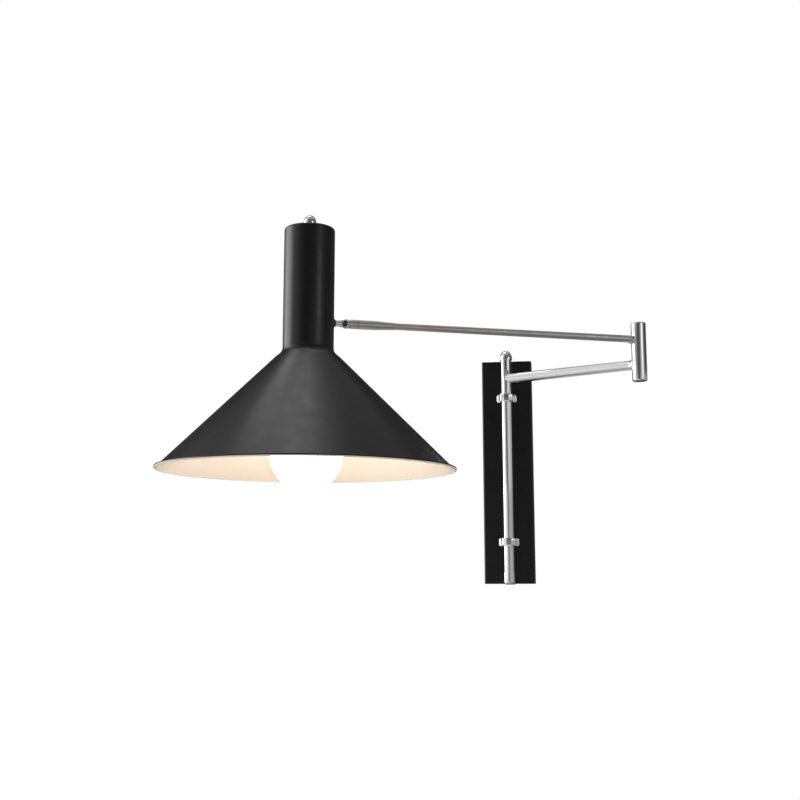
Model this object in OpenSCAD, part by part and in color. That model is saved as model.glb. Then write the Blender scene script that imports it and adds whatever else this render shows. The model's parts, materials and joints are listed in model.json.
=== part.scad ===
// Swing arm wall lamp: a cone shade with a cylindrical neck on a two-part folding arm.
// The origin lies on the wall, at the middle of the wall cover. +Z is up, the lamp stands out
// towards -Y, and the elbow is on the +X side. Lengths are in millimetres.

/* [Wall cover] */
// Width of the wall cover
cover_w = 64; // [56:1:90]
// Height of the wall cover
cover_h = 285; // [260:1:340]
// Depth of the wall cover, from the wall to its front
cover_d = 25; // [23:1:40]
// Sheet thickness of the wall cover
cover_t = 1.5; // [1:0.1:2.5]
// Radius of the wall cover's upright front edges
cover_edge_r = 2.5; // [2.5:0.1:6]
// Diameter of the cable hole in the wall cover's underside
grommet_hole_d = 9; // [7:0.5:10]

/* [Wall bracket] */
// Sheet thickness of the wall bracket
bracket_t = 2; // [1.5:0.1:3]
// Distance between the two wall screw holes
wall_hole_pitch = 120; // [100:1:150]
// Diameter of the wall screw holes
wall_hole_d = 5; // [4:0.1:6]
// Diameter of the hole for the supply cable
supply_hole_d = 20; // [12:1:24]
// Height of the bracket's side tabs
tab_h = 22; // [14:1:30]
// Thread diameter of the grub screws that hold the wall cover
grub_d = 4; // [3:0.5:5]

/* [Terminal block] */
// Distance from one pole of the terminal block to the next
pole_pitch = 8.4; // [7:0.1:10]
// Height of the terminal block
block_h = 17; // [14:0.5:20]
// Depth of the terminal block
block_d = 14; // [12:0.5:16]
// Diameter of the terminal block's wire holes
wire_hole_d = 3.4; // [2.5:0.1:4]

/* [Rod and clips] */
// Diameter of the pivot rod
rod_d = 13.2; // [11:0.1:14]
// Wall thickness of the pivot rod
rod_wall = 1.5; // [1.3:0.1:2]
// Distance from the wall cover's front to the rod's axis
rod_stand = 9.5; // [9:0.1:14]
// Distance from the wall cover's top down to the middle of the upper clip
clip_top_inset = 48.8; // [40:0.2:75]
// Distance from the wall cover's foot up to the middle of the lower clip
clip_foot_inset = 52.3; // [40:0.2:75]
// Height of a clip
clip_h = 10; // [8:0.5:14]
// Sheet thickness of a clip
clip_t = 1; // [0.8:0.1:1.5]
// Width of a clip's foot, outside the saddle
clip_foot = 4.6; // [4.4:0.1:8]
// Diameter of the clip screws
clip_screw_d = 2.5; // [2:0.1:3]
// Diameter of the domed nut on the rod
dome_d = 16; // [14:0.1:17]
// Height of the domed nut on the rod
dome_h = 12.4; // [9:0.1:15]
// Wall thickness of the end piece round the rod's foot
rod_end_wall = 0.5; // [0.5:0.1:2]
// Height of the end piece at the rod's foot
rod_end_h = 14.4; // [12:0.1:20]

/* [Lower arm] */
// Length of the lower arm, from the rod's axis to the elbow's axis
lower_len = 183; // [140:1:260]
// How much thinner than the rod the lower arm is where it meets the rod
lower_step = 0.3; // [0.3:0.1:1.5]
// Diameter of the lower arm at the elbow
lower_d_elbow = 11.3; // [10.5:0.1:12.5]
// Bore of the lower arm
lower_bore = 9; // [7:0.1:9]
// Distance from the rod's top down to the lower arm's axis
lower_drop = 24.1; // [14:0.1:36]
// Angle by which the lower arm stands out from the wall's plane, as shown
lower_swing = 26.7; // [0:0.1:80]

/* [Elbow] */
// Diameter of the elbow
elbow_d = 17.9; // [17:0.1:22]
// Height of one elbow knuckle
knuckle_h = 29.6; // [27:0.1:40]
// Height of an elbow end, outside the knuckle
elbow_end_h = 5.6; // [3:0.1:9]
// Diameter of the elbow's hollow pivot
pivot_d = 10; // [9:0.1:10]
// Bore of the elbow's hollow pivot
pivot_bore = 6.4; // [5:0.1:7]
// Thickness of the thrust washer between the knuckles
thrust_t = 0.6; // [0.5:0.1:1.5]

/* [Upper arm] */
// Length of the upper arm, from the elbow's axis to the shade's axis
upper_len = 404.4; // [300:0.2:500]
// Diameter of the upper arm at the elbow
upper_d_elbow = 8.6; // [7.6:0.1:10]
// Diameter of the upper arm at the shade
upper_d_shade = 7.2; // [6.8:0.1:7.6]
// Bore of the upper arm
upper_bore = 4.8; // [4:0.1:5.2]
// Angle by which the upper arm stands out from the wall's plane, as shown
upper_swing = 23.1; // [0:0.1:80]

/* [Tilt joint] */
// Diameter of the ferrule and the fork
ferrule_d = 10.4; // [10:0.1:12]
// Length of the ferrule
ferrule_len = 43; // [36:0.5:60]
// Diameter of the fork's spindle in the ferrule
spindle_d = 6; // [5.6:0.1:6.4]
// Distance from the neck's side to the tilt screw
tilt_reach = 14.5; // [13:0.1:20]
// Angle by which the shade leans towards the elbow, as shown
shade_lean = 0.4; // [-20:0.2:58]
// Thickness of the stub's tongue in the fork
tongue_t = 3.4; // [3:0.1:3.8]
// Diameter of the tilt screw
tilt_screw_d = 3; // [2.5:0.1:3]
// Diameter of the stub between the neck and the fork
stub_d = 7.2; // [5.6:0.1:7.4]

/* [Neck and cone] */
// Diameter of the neck
neck_d = 57; // [52:0.5:70]
// Wall thickness of the neck
neck_wall = 1; // [0.8:0.1:2]
// Height of the neck above the upper arm's axis
neck_rise = 107; // [80:0.2:140]
// Length of the neck below the upper arm's axis
neck_drop = 30.6; // [26:0.2:40]
// Radius of the neck's top edge
neck_edge_r = 2.5; // [1.6:0.1:6]
// Diameter of the shade's rim, over the rolled edge
rim_d = 330; // [280:1:400]
// Height of the cone, from the neck to the rim
cone_h = 136.4; // [110:0.1:180]
// Wall thickness of the cone
cone_wall = 0.8; // [0.6:0.1:1.5]
// Radius of the flare from the neck into the cone
flare_r = 10.6; // [8:0.2:14]
// Width of the flat shoulder between the flare and the cone's flank
shoulder_w = 8; // [4:0.5:14]
// Diameter of the rim's rolled edge
rim_roll_d = 3.2; // [2.4:0.1:5]
// Diameter of the domed nut on the neck
finial_d = 14.5; // [13:0.1:16]
// Height of the domed nut on the neck
finial_h = 13.9; // [12:0.1:20]

/* [Lampholder and bulb] */
// Diameter of the stem tube and its threads
stem_d = 10; // [8:0.5:10]
// Outer diameter of the lampholder
holder_d = 39; // [36:0.5:42]
// Diameter of the bulb's globe
bulb_d = 80; // [70:1:95]
// Length of the bulb, with its cap
bulb_len = 118; // [112:1:140]
// Distance by which the bulb hangs below the rim
bulb_drop = 22.4; // [0:0.2:30]
// Wall thickness of the bulb's glass
glass_t = 1; // [0.8:0.1:1.5]

/* [Hidden] */
$fn = 72;

// Clearances
run_gap = 0.05;   // between a shaft and its hole
face_gap = 0.3;   // between faces that move past each other
fit_gap = 0.2;    // round fixed pieces that are put in by hand
cut = 1;          // how far a cut reaches past a face

// Colours
black = "#1b1b1d";
chrome = "#c8cbd0";
steel = "#9a9ca0";
nylon = "#e9e6dc";
brass = "#c9a24a";
dark_plastic = "#26262a";
frosted = "#fffdf6";

// Heights and places on the wall
rod_y = cover_d + rod_stand;
rod_top = cover_h / 2;
rod_foot_lift = 0.4;
rod_foot = -cover_h / 2 + rod_foot_lift;
rod_r = rod_d / 2;
rod_bore_r = rod_r - rod_wall;
lower_z = rod_top - lower_drop;

// Bracket
bracket_w = cover_w - 2 * cover_t - 2 * face_gap;
bracket_h = cover_h - 2 * cover_t - 2 * face_gap;
tab_clear = 2;
tab_d = cover_d - cover_t - tab_clear;
tab_y = cover_d / 2;
lip_d = 5;
grub_len = 6;

// Terminal block and earth screw
block_w = 3 * pole_pitch;
block_gap = 3;
block_z = supply_hole_d / 2 + block_gap + block_h / 2;
block_base_d = 0.55 * block_d;
wire_depth = 0.27 * block_d;
clamp_z = 0.28 * block_h;
clamp_screw_d = 3;
block_screw_d = 2.5;
block_screw_x = pole_pitch / 2;
screw_short = 0.2;
earth_screw_d = 4;
earth_gap = 9;
earth_z = -supply_hole_d / 2 - earth_gap;

// Clips
clip_heights = [cover_h / 2 - clip_top_inset, -cover_h / 2 + clip_foot_inset];
clip_ri = rod_r + run_gap;
clip_ro = clip_ri + clip_t;
clip_screw_x = clip_ro + clip_foot / 2;
clip_head_d = min(1.7 * clip_screw_d, clip_foot - 2 * fit_gap);
clip_head_h = 1.4;
clip_nut_h = 1.8;
clip_nut_rim = 1.5;
thread_end = 1;
pad_setback = 2;
groove_w = 3.4;
groove_r = rod_r - 0.8;
rib_r = groove_r + face_gap;

// Rod ends
rod_end_floor = 5;
bush_flange_t = 1.2;
bush_bore_r = 2.6;
bush_r = 3.8;

// Elbow
elbow_r = elbow_d / 2;
pivot_r = pivot_d / 2;
knuckle_wall = 1.35;
well_r = elbow_r - knuckle_wall;
press_z = 3;
upper_rise = knuckle_h + thrust_t + face_gap;
bush_len = 7.8;
bush_top = -knuckle_h / 2 + bush_len;
elbow_bush_t = 1.4;
elbow_bush_r = min(pivot_r + elbow_bush_t, well_r - 0.6);
spring_t = 1;
elbow_nut_h = 3.5;
elbow_nut_r = well_r - 0.65;
pivot_top = bush_top + face_gap + spring_t + elbow_nut_h + thread_end;
plug_h = 2.4;
elbow_edge_r = 1.6;
weld = 1.2;

// Upper arm and tilt joint; places on the arm are measured from the shade's axis
neck_r = neck_d / 2;
neck_ri = neck_r - neck_wall;
tilt_x = neck_r + tilt_reach;
fork_r = ferrule_d / 2;
lobe_clear = 0.8;
slot_end = tilt_x + fork_r + lobe_clear;
fork_shoulder = 7;
fork_end = slot_end + fork_shoulder;
ferrule_x = fork_end + face_gap;
ferrule_end = ferrule_x + ferrule_len;
ferrule_straight = 14;
spindle_r = spindle_d / 2;
spindle_len = 16.5;
spindle_clear = 3;
arm_end_x = fork_end + spindle_len + spindle_clear;
cable_r = 1.6;
ferrule_screw_d = 3;
ferrule_screw_inset = 8;
ferrule_screw_x = ferrule_x + ferrule_screw_inset;
spindle_groove_w = 2.8;
spindle_groove_r = spindle_r - 0.8;
friction_t = 0.5;
slot_half = tongue_t / 2 + face_gap + friction_t;
tilt_recess = 0.2;
tilt_head_h = 1.3;
tilt_head_d = 5;
tilt_head_y = -fork_r + tilt_recess + tilt_head_h;
tilt_nut_h = 1.5;
tilt_nut_r = 2.8;
tilt_nut_y = fork_r - tilt_recess - tilt_nut_h;
pocket_gap = 0.1;
tongue_r = fork_r - fit_gap;
stub_r = stub_d / 2;
stub_collar_h = 2.6;
collar_x = neck_r + stub_collar_h;
stub_washer_t = 2.6;
stub_nut_h = 4;
stub_nut_x = neck_ri - stub_washer_t;
stub_nut_rim = 2.6;
stub_nut_r = stub_r + stub_nut_rim;

// Cone, measured from the upper arm's axis
seam_z = -neck_drop;
rim_z = seam_z - cone_h;
collar_h = 12;
collar_r = neck_ri - run_gap;
roll_r = rim_roll_d / 2;
roll_x = rim_d / 2 - roll_r;
roll_z = rim_z + roll_r;

// Flare under the seam, with its slopes from the upright, and the flatter shoulder below it
flare_drop = 0.4;
flare_top_a = 8;
flare_foot_a = 52;
shoulder_a = 58;
flare_x = neck_r + flare_r * cos(flare_top_a);
flare_z = seam_z - flare_drop + flare_r * sin(flare_top_a);
shoulder_z = flare_z - flare_r * sin(flare_foot_a);
flank_x = flare_x - flare_r * cos(flare_foot_a) + shoulder_w;
flank_z = shoulder_z - shoulder_w / tan(shoulder_a);

// The flank's slope from the upright: its inside is tangent to the rim's roll
flank_dx = roll_x - flank_x;
flank_dz = roll_z - flank_z;
cone_angle = atan2(flank_dz, flank_dx)
    + acos((roll_r - cone_wall) / norm([flank_dx, flank_dz]));

// Bulb and lampholder, measured from the upper arm's axis
bulb_r = bulb_d / 2;
bulb_z = rim_z - bulb_drop + bulb_r;
bulb_tip = rim_z - bulb_drop + bulb_len;
cap_r = 13;
cap_h = 22;
bulb_nose_h = 4.5;
contact_h = 1.5;
cap_top = bulb_tip - bulb_nose_h;
cap_foot = cap_top - cap_h;
nose_r = cap_r - 3;
glass_neck_r = 14;
glass_fillet = 10;
holder_r = holder_d / 2;
holder_wall = 2.2;
holder_foot_gap = 0.5;
holder_foot = cap_foot + holder_foot_gap;
insert_rise = 14;
holder_top = bulb_tip + insert_rise;
holder_cap_h = 14;
holder_cap_top = holder_top + holder_cap_h;
thread_r = cap_r + face_gap;
thread_t = 0.5;
contact_t = 0.6;
insert_z = bulb_tip + contact_t;
insert_short = 1;
insert_h = holder_top - insert_z - insert_short;
stem_r = stem_d / 2;
stem_wall = 1.4;
stem_bore_r = stem_r - stem_wall;
stem_grip = 8;
neck_washer_t = 2;
neck_washer_rim = 2;
neck_washer_r = finial_d / 2 + neck_washer_rim;
finial_band = 5;
stem_foot = holder_cap_top - stem_grip;
stem_top = neck_rise + neck_washer_t + stem_grip;
stem_nut_h = 3;
stem_nut_rim = 3;
stem_nut_r = stem_r + stem_nut_rim;

// Points of an arc about (cx, cy), from angle a0 to angle a1
function arc(cx, cy, r, a0, a1, n = 8) =
    [for (i = [0:n]) let (a = a0 + (a1 - a0) * i / n) [cx + r * cos(a), cy + r * sin(a)]];

// Radius of the upper arm at a distance x from the elbow's axis
function arm_r(x) = (upper_d_elbow + (upper_d_shade - upper_d_elbow) * x / upper_len) / 2;

// Frames

// At the rod's foot on the cover's middle height, +Z along the rod
module rod_frame() {
    translate([0, -rod_y, 0]) children();
}

// At the rod, on the lower arm's axis, +X towards the elbow
module lower_frame() {
    translate([0, -rod_y, lower_z]) rotate([0, 0, -lower_swing]) children();
}

// At the elbow, on the upper arm's axis, +X towards the shade
module upper_frame() {
    lower_frame()
        translate([lower_len, 0, upper_rise])
            rotate([0, 0, 180 + lower_swing + upper_swing]) children();
}

// At the shade's axis, on the upper arm's axis, +X towards the elbow
module shade_frame() {
    upper_frame() translate([upper_len, 0, 0]) rotate([0, 0, 180]) children();
}

// As shade_frame, turned about the tilt screw by the shade's lean
module hung_frame() {
    shade_frame() translate([tilt_x, 0, 0]) rotate([0, shade_lean, 0])
        translate([-tilt_x, 0, 0]) children();
}

// Shapes used more than once

// Cylinder along +X from x0 to x1
module rod_x(x0, x1, r1, r2 = -1) {
    translate([x0, 0, 0]) rotate([0, 90, 0])
        cylinder(h = x1 - x0, r1 = r1, r2 = r2 < 0 ? r1 : r2);
}

// Cylinder along Y from y0 to y1
module rod_along_y(y0, y1, r) {
    translate([0, y1, 0]) rotate([90, 0, 0]) cylinder(h = y1 - y0, r = r);
}

// Upright ring from z0 to z1
module ring(z0, z1, ro, ri) {
    translate([0, 0, z0]) difference() {
        cylinder(h = z1 - z0, r = ro);
        translate([0, 0, -cut]) cylinder(h = z1 - z0 + 2 * cut, r = ri);
    }
}

// Hexagon nut standing on z = 0
module hex_nut(h, corner_r, hole_r) {
    difference() {
        cylinder(h = h, r = corner_r, $fn = 6);
        translate([0, 0, -cut]) cylinder(h = h + 2 * cut, r = hole_r);
    }
}

// Pan head screw along -Z: the head stands on z = 0
module pan_screw(d, len, head_d, head_h) {
    slot_w = 0.2 * head_d;
    difference() {
        union() {
            cylinder(h = head_h, r = head_d / 2);
            translate([0, 0, -len]) cylinder(h = len + head_h / 2, r = d / 2);
        }
        translate([-head_d, -slot_w / 2, head_h * 0.55]) cube([2 * head_d, slot_w, head_h]);
    }
}

// Grub screw from z = 0 down, with a hexagon socket in its upper end
module grub_screw(d, len) {
    difference() {
        translate([0, 0, -len]) cylinder(h = len, r = d / 2);
        translate([0, 0, -0.4 * len]) cylinder(h = len, r = 0.28 * d, $fn = 6);
    }
}

// Half outline of a domed nut: a straight band, then a quarter of an ellipse
module dome_outline(r, h, band) {
    polygon(concat(
        [[0, 0], [r, 0]],
        [for (i = [0:14]) let (a = 90 * i / 14) [r * cos(a), band + (h - band) * sin(a)]]));
}

// Outline of the wall cover seen from above, with the wall at y = 0
module cover_outline(w, d, r) {
    translate([-w / 2, -d + r]) square([w, d - r]);
    translate([-w / 2 + r, -d]) square([w - 2 * r, d]);
    for (side = [-1, 1]) translate([side * (w / 2 - r), -d + r]) circle(r);
}

// Places the four clip screws, with +Z out of the wall cover's front
module at_clip_screws() {
    for (side = [-1, 1], z = clip_heights)
        translate([side * clip_screw_x, -cover_d, z])
            rotate([90, 0, 0]) children();
}

// Places the two cover screws, with +Z out of the cover's side
module at_cover_screws() {
    for (side = [-1, 1])
        translate([side * cover_w / 2, -tab_y, 0]) rotate([0, side * 90, 0]) children();
}

// Wall cover and bracket

module wall_bracket() {
    color(steel) difference() {
        union() {
            translate([-bracket_w / 2, -bracket_t, -bracket_h / 2])
                cube([bracket_w, bracket_t, bracket_h]);
            for (side = [-1, 1]) {
                translate([side * (bracket_w / 2 - bracket_t / 2), -tab_d / 2, 0])
                    cube([bracket_t, tab_d, tab_h], center = true);
                translate([0, -lip_d / 2, side * (bracket_h / 2 - bracket_t / 2)])
                    cube([bracket_w, lip_d, bracket_t], center = true);
            }
        }
        for (side = [-1, 1])
            translate([0, 0, side * wall_hole_pitch / 2])
                rod_along_y(-bracket_t - cut, cut, wall_hole_d / 2);
        rod_along_y(-bracket_t - cut, cut, supply_hole_d / 2);
        at_cover_screws() translate([0, 0, -grub_len - cut])
            cylinder(h = grub_len + 2 * cut, r = grub_d / 2);
        translate([block_screw_x, 0, block_z])
            rod_along_y(-bracket_t - cut, cut, block_screw_d / 2);
        translate([0, 0, earth_z]) rod_along_y(-bracket_t - cut, cut, earth_screw_d / 2);
    }
}

module wall_cover() {
    color(black) difference() {
        translate([0, 0, -cover_h / 2]) linear_extrude(cover_h)
            cover_outline(cover_w, cover_d, cover_edge_r);
        translate([0, cut, -cover_h / 2 + cover_t]) linear_extrude(cover_h - 2 * cover_t)
            cover_outline(cover_w - 2 * cover_t, cover_d - cover_t + cut,
                max(cover_edge_r - cover_t, 0.5));
        at_clip_screws() translate([0, 0, -cover_t - cut])
            cylinder(h = cover_t + 2 * cut, r = clip_screw_d / 2);
        at_cover_screws() translate([0, 0, -cover_t - cut / 2])
            cylinder(h = cover_t + cut, r = grub_d / 2 + fit_gap);
        translate([0, -cover_d / 2, -cover_h / 2 - cut])
            cylinder(h = cover_t + 2 * cut, r = grommet_hole_d / 2);
    }
}

module cover_screws() {
    color(steel) at_cover_screws() grub_screw(grub_d, grub_len);
}

module cable_grommet() {
    flange_t = 0.9;
    hole_r = grommet_hole_d / 2;
    inner_r = hole_r - 1.8;
    outer_r = hole_r + 1.4;
    color(dark_plastic) translate([0, -cover_d / 2, -cover_h / 2]) rotate_extrude()
        polygon([
            [inner_r, -flange_t], [outer_r, -flange_t], [outer_r, 0], [hole_r, 0],
            [hole_r, cover_t], [outer_r, cover_t], [outer_r, cover_t + flange_t],
            [inner_r, cover_t + flange_t]
        ]);
}

module terminal_block() {
    barrel_r = 0.36 * pole_pitch;
    well_r = clamp_screw_d / 2 + 2 * fit_gap;
    color(nylon) translate([0, -bracket_t, block_z]) difference() {
        union() {
            translate([-block_w / 2, -block_base_d, -block_h / 2])
                cube([block_w, block_base_d, block_h]);
            for (i = [-1:1], level = [-1, 1])
                translate([i * pole_pitch, 0, level * clamp_z])
                    rod_along_y(-block_d, -cut, barrel_r);
        }
        for (i = [-1:1]) {
            translate([i * pole_pitch, -wire_depth, -block_h / 2 - cut])
                cylinder(h = block_h + 2 * cut, r = wire_hole_d / 2);
            for (level = [-1, 1]) translate([i * pole_pitch, 0, level * clamp_z])
                rod_along_y(-block_d - cut, -wire_depth, well_r);
        }
        translate([block_screw_x, 0, 0]) rod_along_y(-block_d, cut, block_screw_d / 2);
    }
}

// The screws' tips reach into the wire holes
module terminal_screws() {
    len = 6;
    head_y = -wire_depth - wire_hole_d / 2 + 2 * fit_gap - len;
    color(brass) translate([0, -bracket_t, block_z])
        for (i = [-1:1], level = [-1, 1])
            translate([i * pole_pitch, head_y, level * clamp_z])
                rotate([90, 0, 0]) grub_screw(clamp_screw_d, len);
}

module block_screw() {
    head_h = 1.5;
    len = block_base_d + bracket_t - screw_short;
    color(steel) translate([block_screw_x, -bracket_t - block_base_d, block_z])
        rotate([90, 0, 0]) pan_screw(block_screw_d, len, 1.6 * block_screw_d, head_h);
}

module earth_screw() {
    head_h = 2.4;
    color(brass) translate([0, -bracket_t, earth_z]) rotate([90, 0, 0])
        pan_screw(earth_screw_d, bracket_t - screw_short, 2 * earth_screw_d, head_h);
}

// Clips

module saddle_clip() {
    foot_w = 2 * (clip_ro + clip_foot);
    difference() {
        union() {
            cylinder(h = clip_h, r = clip_ro, center = true);
            translate([-clip_ro, 0, -clip_h / 2]) cube([2 * clip_ro, rod_stand, clip_h]);
            translate([-foot_w / 2, rod_stand - clip_t, -clip_h / 2])
                cube([foot_w, clip_t, clip_h]);
        }
        cylinder(h = clip_h + 2 * cut, r = clip_ri, center = true);
        translate([-clip_ri, 0, -clip_h / 2 - cut])
            cube([2 * clip_ri, rod_stand + cut, clip_h + 2 * cut]);
        for (side = [-1, 1]) translate([side * clip_screw_x, rod_stand, 0])
            rod_along_y(-clip_t - cut, cut, clip_screw_d / 2);
    }
}

module clip_upper() {
    color(chrome) rod_frame() translate([0, 0, clip_heights[0]]) saddle_clip();
}

module clip_lower() {
    color(chrome) rod_frame() translate([0, 0, clip_heights[1]]) saddle_clip();
}

// Each pad's rib runs in a groove of the rod and carries the rod's weight
module clip_pads() {
    rib_h = groove_w - 2 * face_gap;
    color(dark_plastic) rod_frame() for (z = clip_heights)
        translate([0, 0, z]) difference() {
            translate([-clip_ri, pad_setback, -clip_h / 2])
                cube([2 * clip_ri, rod_stand - pad_setback, clip_h]);
            cylinder(h = clip_h + 2 * cut, r = rib_r, center = true);
            for (turn = [0, 180]) rotate([turn, 0, 0]) translate([0, 0, rib_h / 2])
                cylinder(h = clip_h, r = clip_ri);
        }
}

module clip_screws() {
    color(chrome) at_clip_screws() translate([0, 0, clip_t])
        pan_screw(clip_screw_d, clip_t + cover_t + clip_nut_h + thread_end,
            clip_head_d, clip_head_h);
}

module clip_nuts() {
    color(steel) at_clip_screws() translate([0, 0, -cover_t - clip_nut_h])
        hex_nut(clip_nut_h, clip_screw_d / 2 + clip_nut_rim, clip_screw_d / 2);
}

// Pivot rod and lower arm

module pivot_rod() {
    foot = rod_foot + rod_end_floor;
    cable_hole_r = min(lower_bore / 2, rod_bore_r) - 1;
    color(chrome) rod_frame() difference() {
        translate([0, 0, foot]) cylinder(h = rod_top - foot, r = rod_r);
        translate([0, 0, foot - cut]) cylinder(h = rod_top - foot + 2 * cut, r = rod_bore_r);
        for (z = clip_heights) translate([0, 0, z])
            ring(-groove_w / 2, groove_w / 2, rod_r + cut, groove_r);
        translate([0, 0, lower_z]) rotate([0, 0, -lower_swing])
            rod_x(0, rod_r + cut, cable_hole_r);
    }
}

module rod_top_nut() {
    spigot_h = 7;
    band = 1.6;
    color(chrome) rod_frame() translate([0, 0, rod_top]) {
        rotate_extrude() dome_outline(dome_d / 2, dome_h, band);
        translate([0, 0, -spigot_h]) cylinder(h = spigot_h + cut, r = rod_bore_r);
    }
}

module rod_end_cap() {
    r = rod_r + rod_end_wall;
    edge_r = 2.2;
    bevel = rod_end_wall / 2;
    color(chrome) rod_frame() translate([0, 0, rod_foot]) rotate_extrude()
        polygon(concat(
            [[bush_r, 0]],
            arc(r - edge_r, edge_r, edge_r, -90, 0),
            [[r, rod_end_h - bevel], [r - bevel, rod_end_h], [rod_r, rod_end_h],
             [rod_r, rod_end_floor], [bush_r, rod_end_floor]]));
}

// Insulating bush in the rod's foot, where the cable comes out
module cable_bush() {
    flange_r = rod_bore_r - face_gap;
    color(dark_plastic) rod_frame() translate([0, 0, rod_foot]) rotate_extrude()
        polygon([
            [bush_bore_r, fit_gap], [bush_r, fit_gap], [bush_r, rod_end_floor],
            [flange_r, rod_end_floor], [flange_r, rod_end_floor + bush_flange_t],
            [bush_bore_r, rod_end_floor + bush_flange_t]
        ]);
}

module lower_arm() {
    r_rod = rod_r - lower_step / 2;
    r = lower_d_elbow / 2;
    near = rod_r + 1;
    far = lower_len - elbow_r;
    color(chrome) lower_frame() difference() {
        union() {
            rod_x(0, near, r_rod);
            rod_x(near, lower_len, r_rod, r);
            rod_x(far - 2 * weld, far + weld, r, r + weld);
        }
        rod_x(-cut, lower_len + cut, lower_bore / 2);
        cylinder(h = 4 * rod_d, r = rod_r, center = true);
        translate([lower_len, 0, 0]) cylinder(h = 4 * rod_d, r = elbow_r, center = true);
    }
}

// The lower knuckle grips the pivot above the arm and is open below it
module lower_knuckle() {
    color(chrome) lower_frame() translate([lower_len, 0, 0]) difference() {
        cylinder(h = knuckle_h, r = elbow_r, center = true);
        translate([0, 0, -knuckle_h / 2 - cut])
            cylinder(h = knuckle_h / 2 + press_z + cut, r = well_r);
        cylinder(h = knuckle_h, r = pivot_r);
        rod_x(-elbow_r - cut, 0, lower_bore / 2 - 1);
    }
}

module elbow_pivot() {
    color(steel) lower_frame() translate([lower_len, 0, 0])
        ring(press_z - 1, upper_rise + pivot_top, pivot_r, pivot_bore / 2);
}

// Rounded end of the elbow, with the plug that sits in a knuckle's well
module elbow_end() {
    rotate_extrude() polygon(concat(
        [[0, -plug_h], [well_r, -plug_h], [well_r, 0], [elbow_r, 0]],
        arc(elbow_r - elbow_edge_r, elbow_end_h - elbow_edge_r, elbow_edge_r, 0, 90),
        [[0, elbow_end_h]]));
}

module elbow_end_lower() {
    color(chrome) lower_frame() translate([lower_len, 0, -knuckle_h / 2])
        rotate([180, 0, 0]) elbow_end();
}

module elbow_washer() {
    color(steel) lower_frame() translate([lower_len, 0, knuckle_h / 2])
        ring(0, thrust_t, elbow_r - fit_gap, pivot_r + fit_gap);
}

module elbow_spring() {
    z = upper_rise + bush_top + face_gap;
    color(steel) lower_frame() translate([lower_len, 0, z])
        ring(0, spring_t, elbow_nut_r, pivot_r + fit_gap);
}

module elbow_nut() {
    z = upper_rise + bush_top + face_gap + spring_t;
    color(steel) lower_frame() translate([lower_len, 0, z])
        hex_nut(elbow_nut_h, elbow_nut_r, pivot_r);
}

// Upper arm

module upper_knuckle() {
    color(chrome) upper_frame() difference() {
        cylinder(h = knuckle_h, r = elbow_r, center = true);
        translate([0, 0, -knuckle_h / 2 - cut])
            cylinder(h = bush_len + 2 * cut, r = elbow_bush_r);
        translate([0, 0, bush_top]) cylinder(h = knuckle_h, r = well_r);
        rod_x(0, elbow_r + cut, upper_bore / 2);
    }
}

module elbow_bush() {
    color(nylon) upper_frame()
        ring(-knuckle_h / 2, bush_top, elbow_bush_r, pivot_r + run_gap);
}

module elbow_end_upper() {
    color(chrome) upper_frame() translate([0, 0, knuckle_h / 2]) elbow_end();
}

// Solid of the tapering arm between two distances from the elbow's axis
module arm_taper(x0, x1) {
    rod_x(x0, x1, arm_r(x0), arm_r(x1));
}

module upper_arm() {
    color(chrome) upper_frame() difference() {
        union() {
            arm_taper(elbow_r - 2, upper_len - arm_end_x);
            rod_x(elbow_r - weld, elbow_r + 2 * weld, arm_r(0) + weld, arm_r(0) * 0.98);
        }
        rod_x(0, upper_len, upper_bore / 2);
        cylinder(h = 4 * upper_d_elbow, r = elbow_r, center = true);
    }
}

// The ferrule slims down to the arm in a smooth curve
module arm_ferrule() {
    tail = ferrule_len - ferrule_straight;
    tail_r = arm_r(upper_len - ferrule_end) + 0.35;
    steps = 12;
    color(chrome) upper_frame() difference() {
        translate([upper_len - ferrule_x, 0, 0]) rotate([0, -90, 0]) rotate_extrude()
            polygon(concat(
                [[0, 0], [fork_r, 0]],
                [for (i = [0:steps]) let (t = i / steps)
                    [fork_r + (tail_r - fork_r) * (1 - cos(180 * t)) / 2,
                     ferrule_straight + tail * t]],
                [[0, ferrule_len]]));
        translate([upper_len, 0, 0]) rotate([0, 0, 180]) {
            rod_x(ferrule_x - cut, arm_end_x - 1, spindle_r + run_gap);
            rod_x(ferrule_x, ferrule_end, upper_bore / 2);
            translate([ferrule_screw_x, 0, -fork_r - cut])
                cylinder(h = fork_r + cut, r = ferrule_screw_d / 2);
        }
        arm_taper(upper_len - ferrule_end - cut, upper_len - arm_end_x);
    }
}

// The screw's tip runs in the spindle's groove and holds the fork in the ferrule
module ferrule_screw() {
    flush = fork_r - face_gap;
    len = flush - spindle_r - face_gap;
    tip_r = ferrule_screw_d / 2 - 0.6;
    tip_z = spindle_groove_r + face_gap;
    color(steel) shade_frame() translate([ferrule_screw_x, 0, 0]) rotate([180, 0, 0]) {
        translate([0, 0, flush]) grub_screw(ferrule_screw_d, len);
        translate([0, 0, tip_z]) cylinder(h = spindle_r + 2 * face_gap - tip_z, r = tip_r);
    }
}

// Tilt joint

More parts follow.
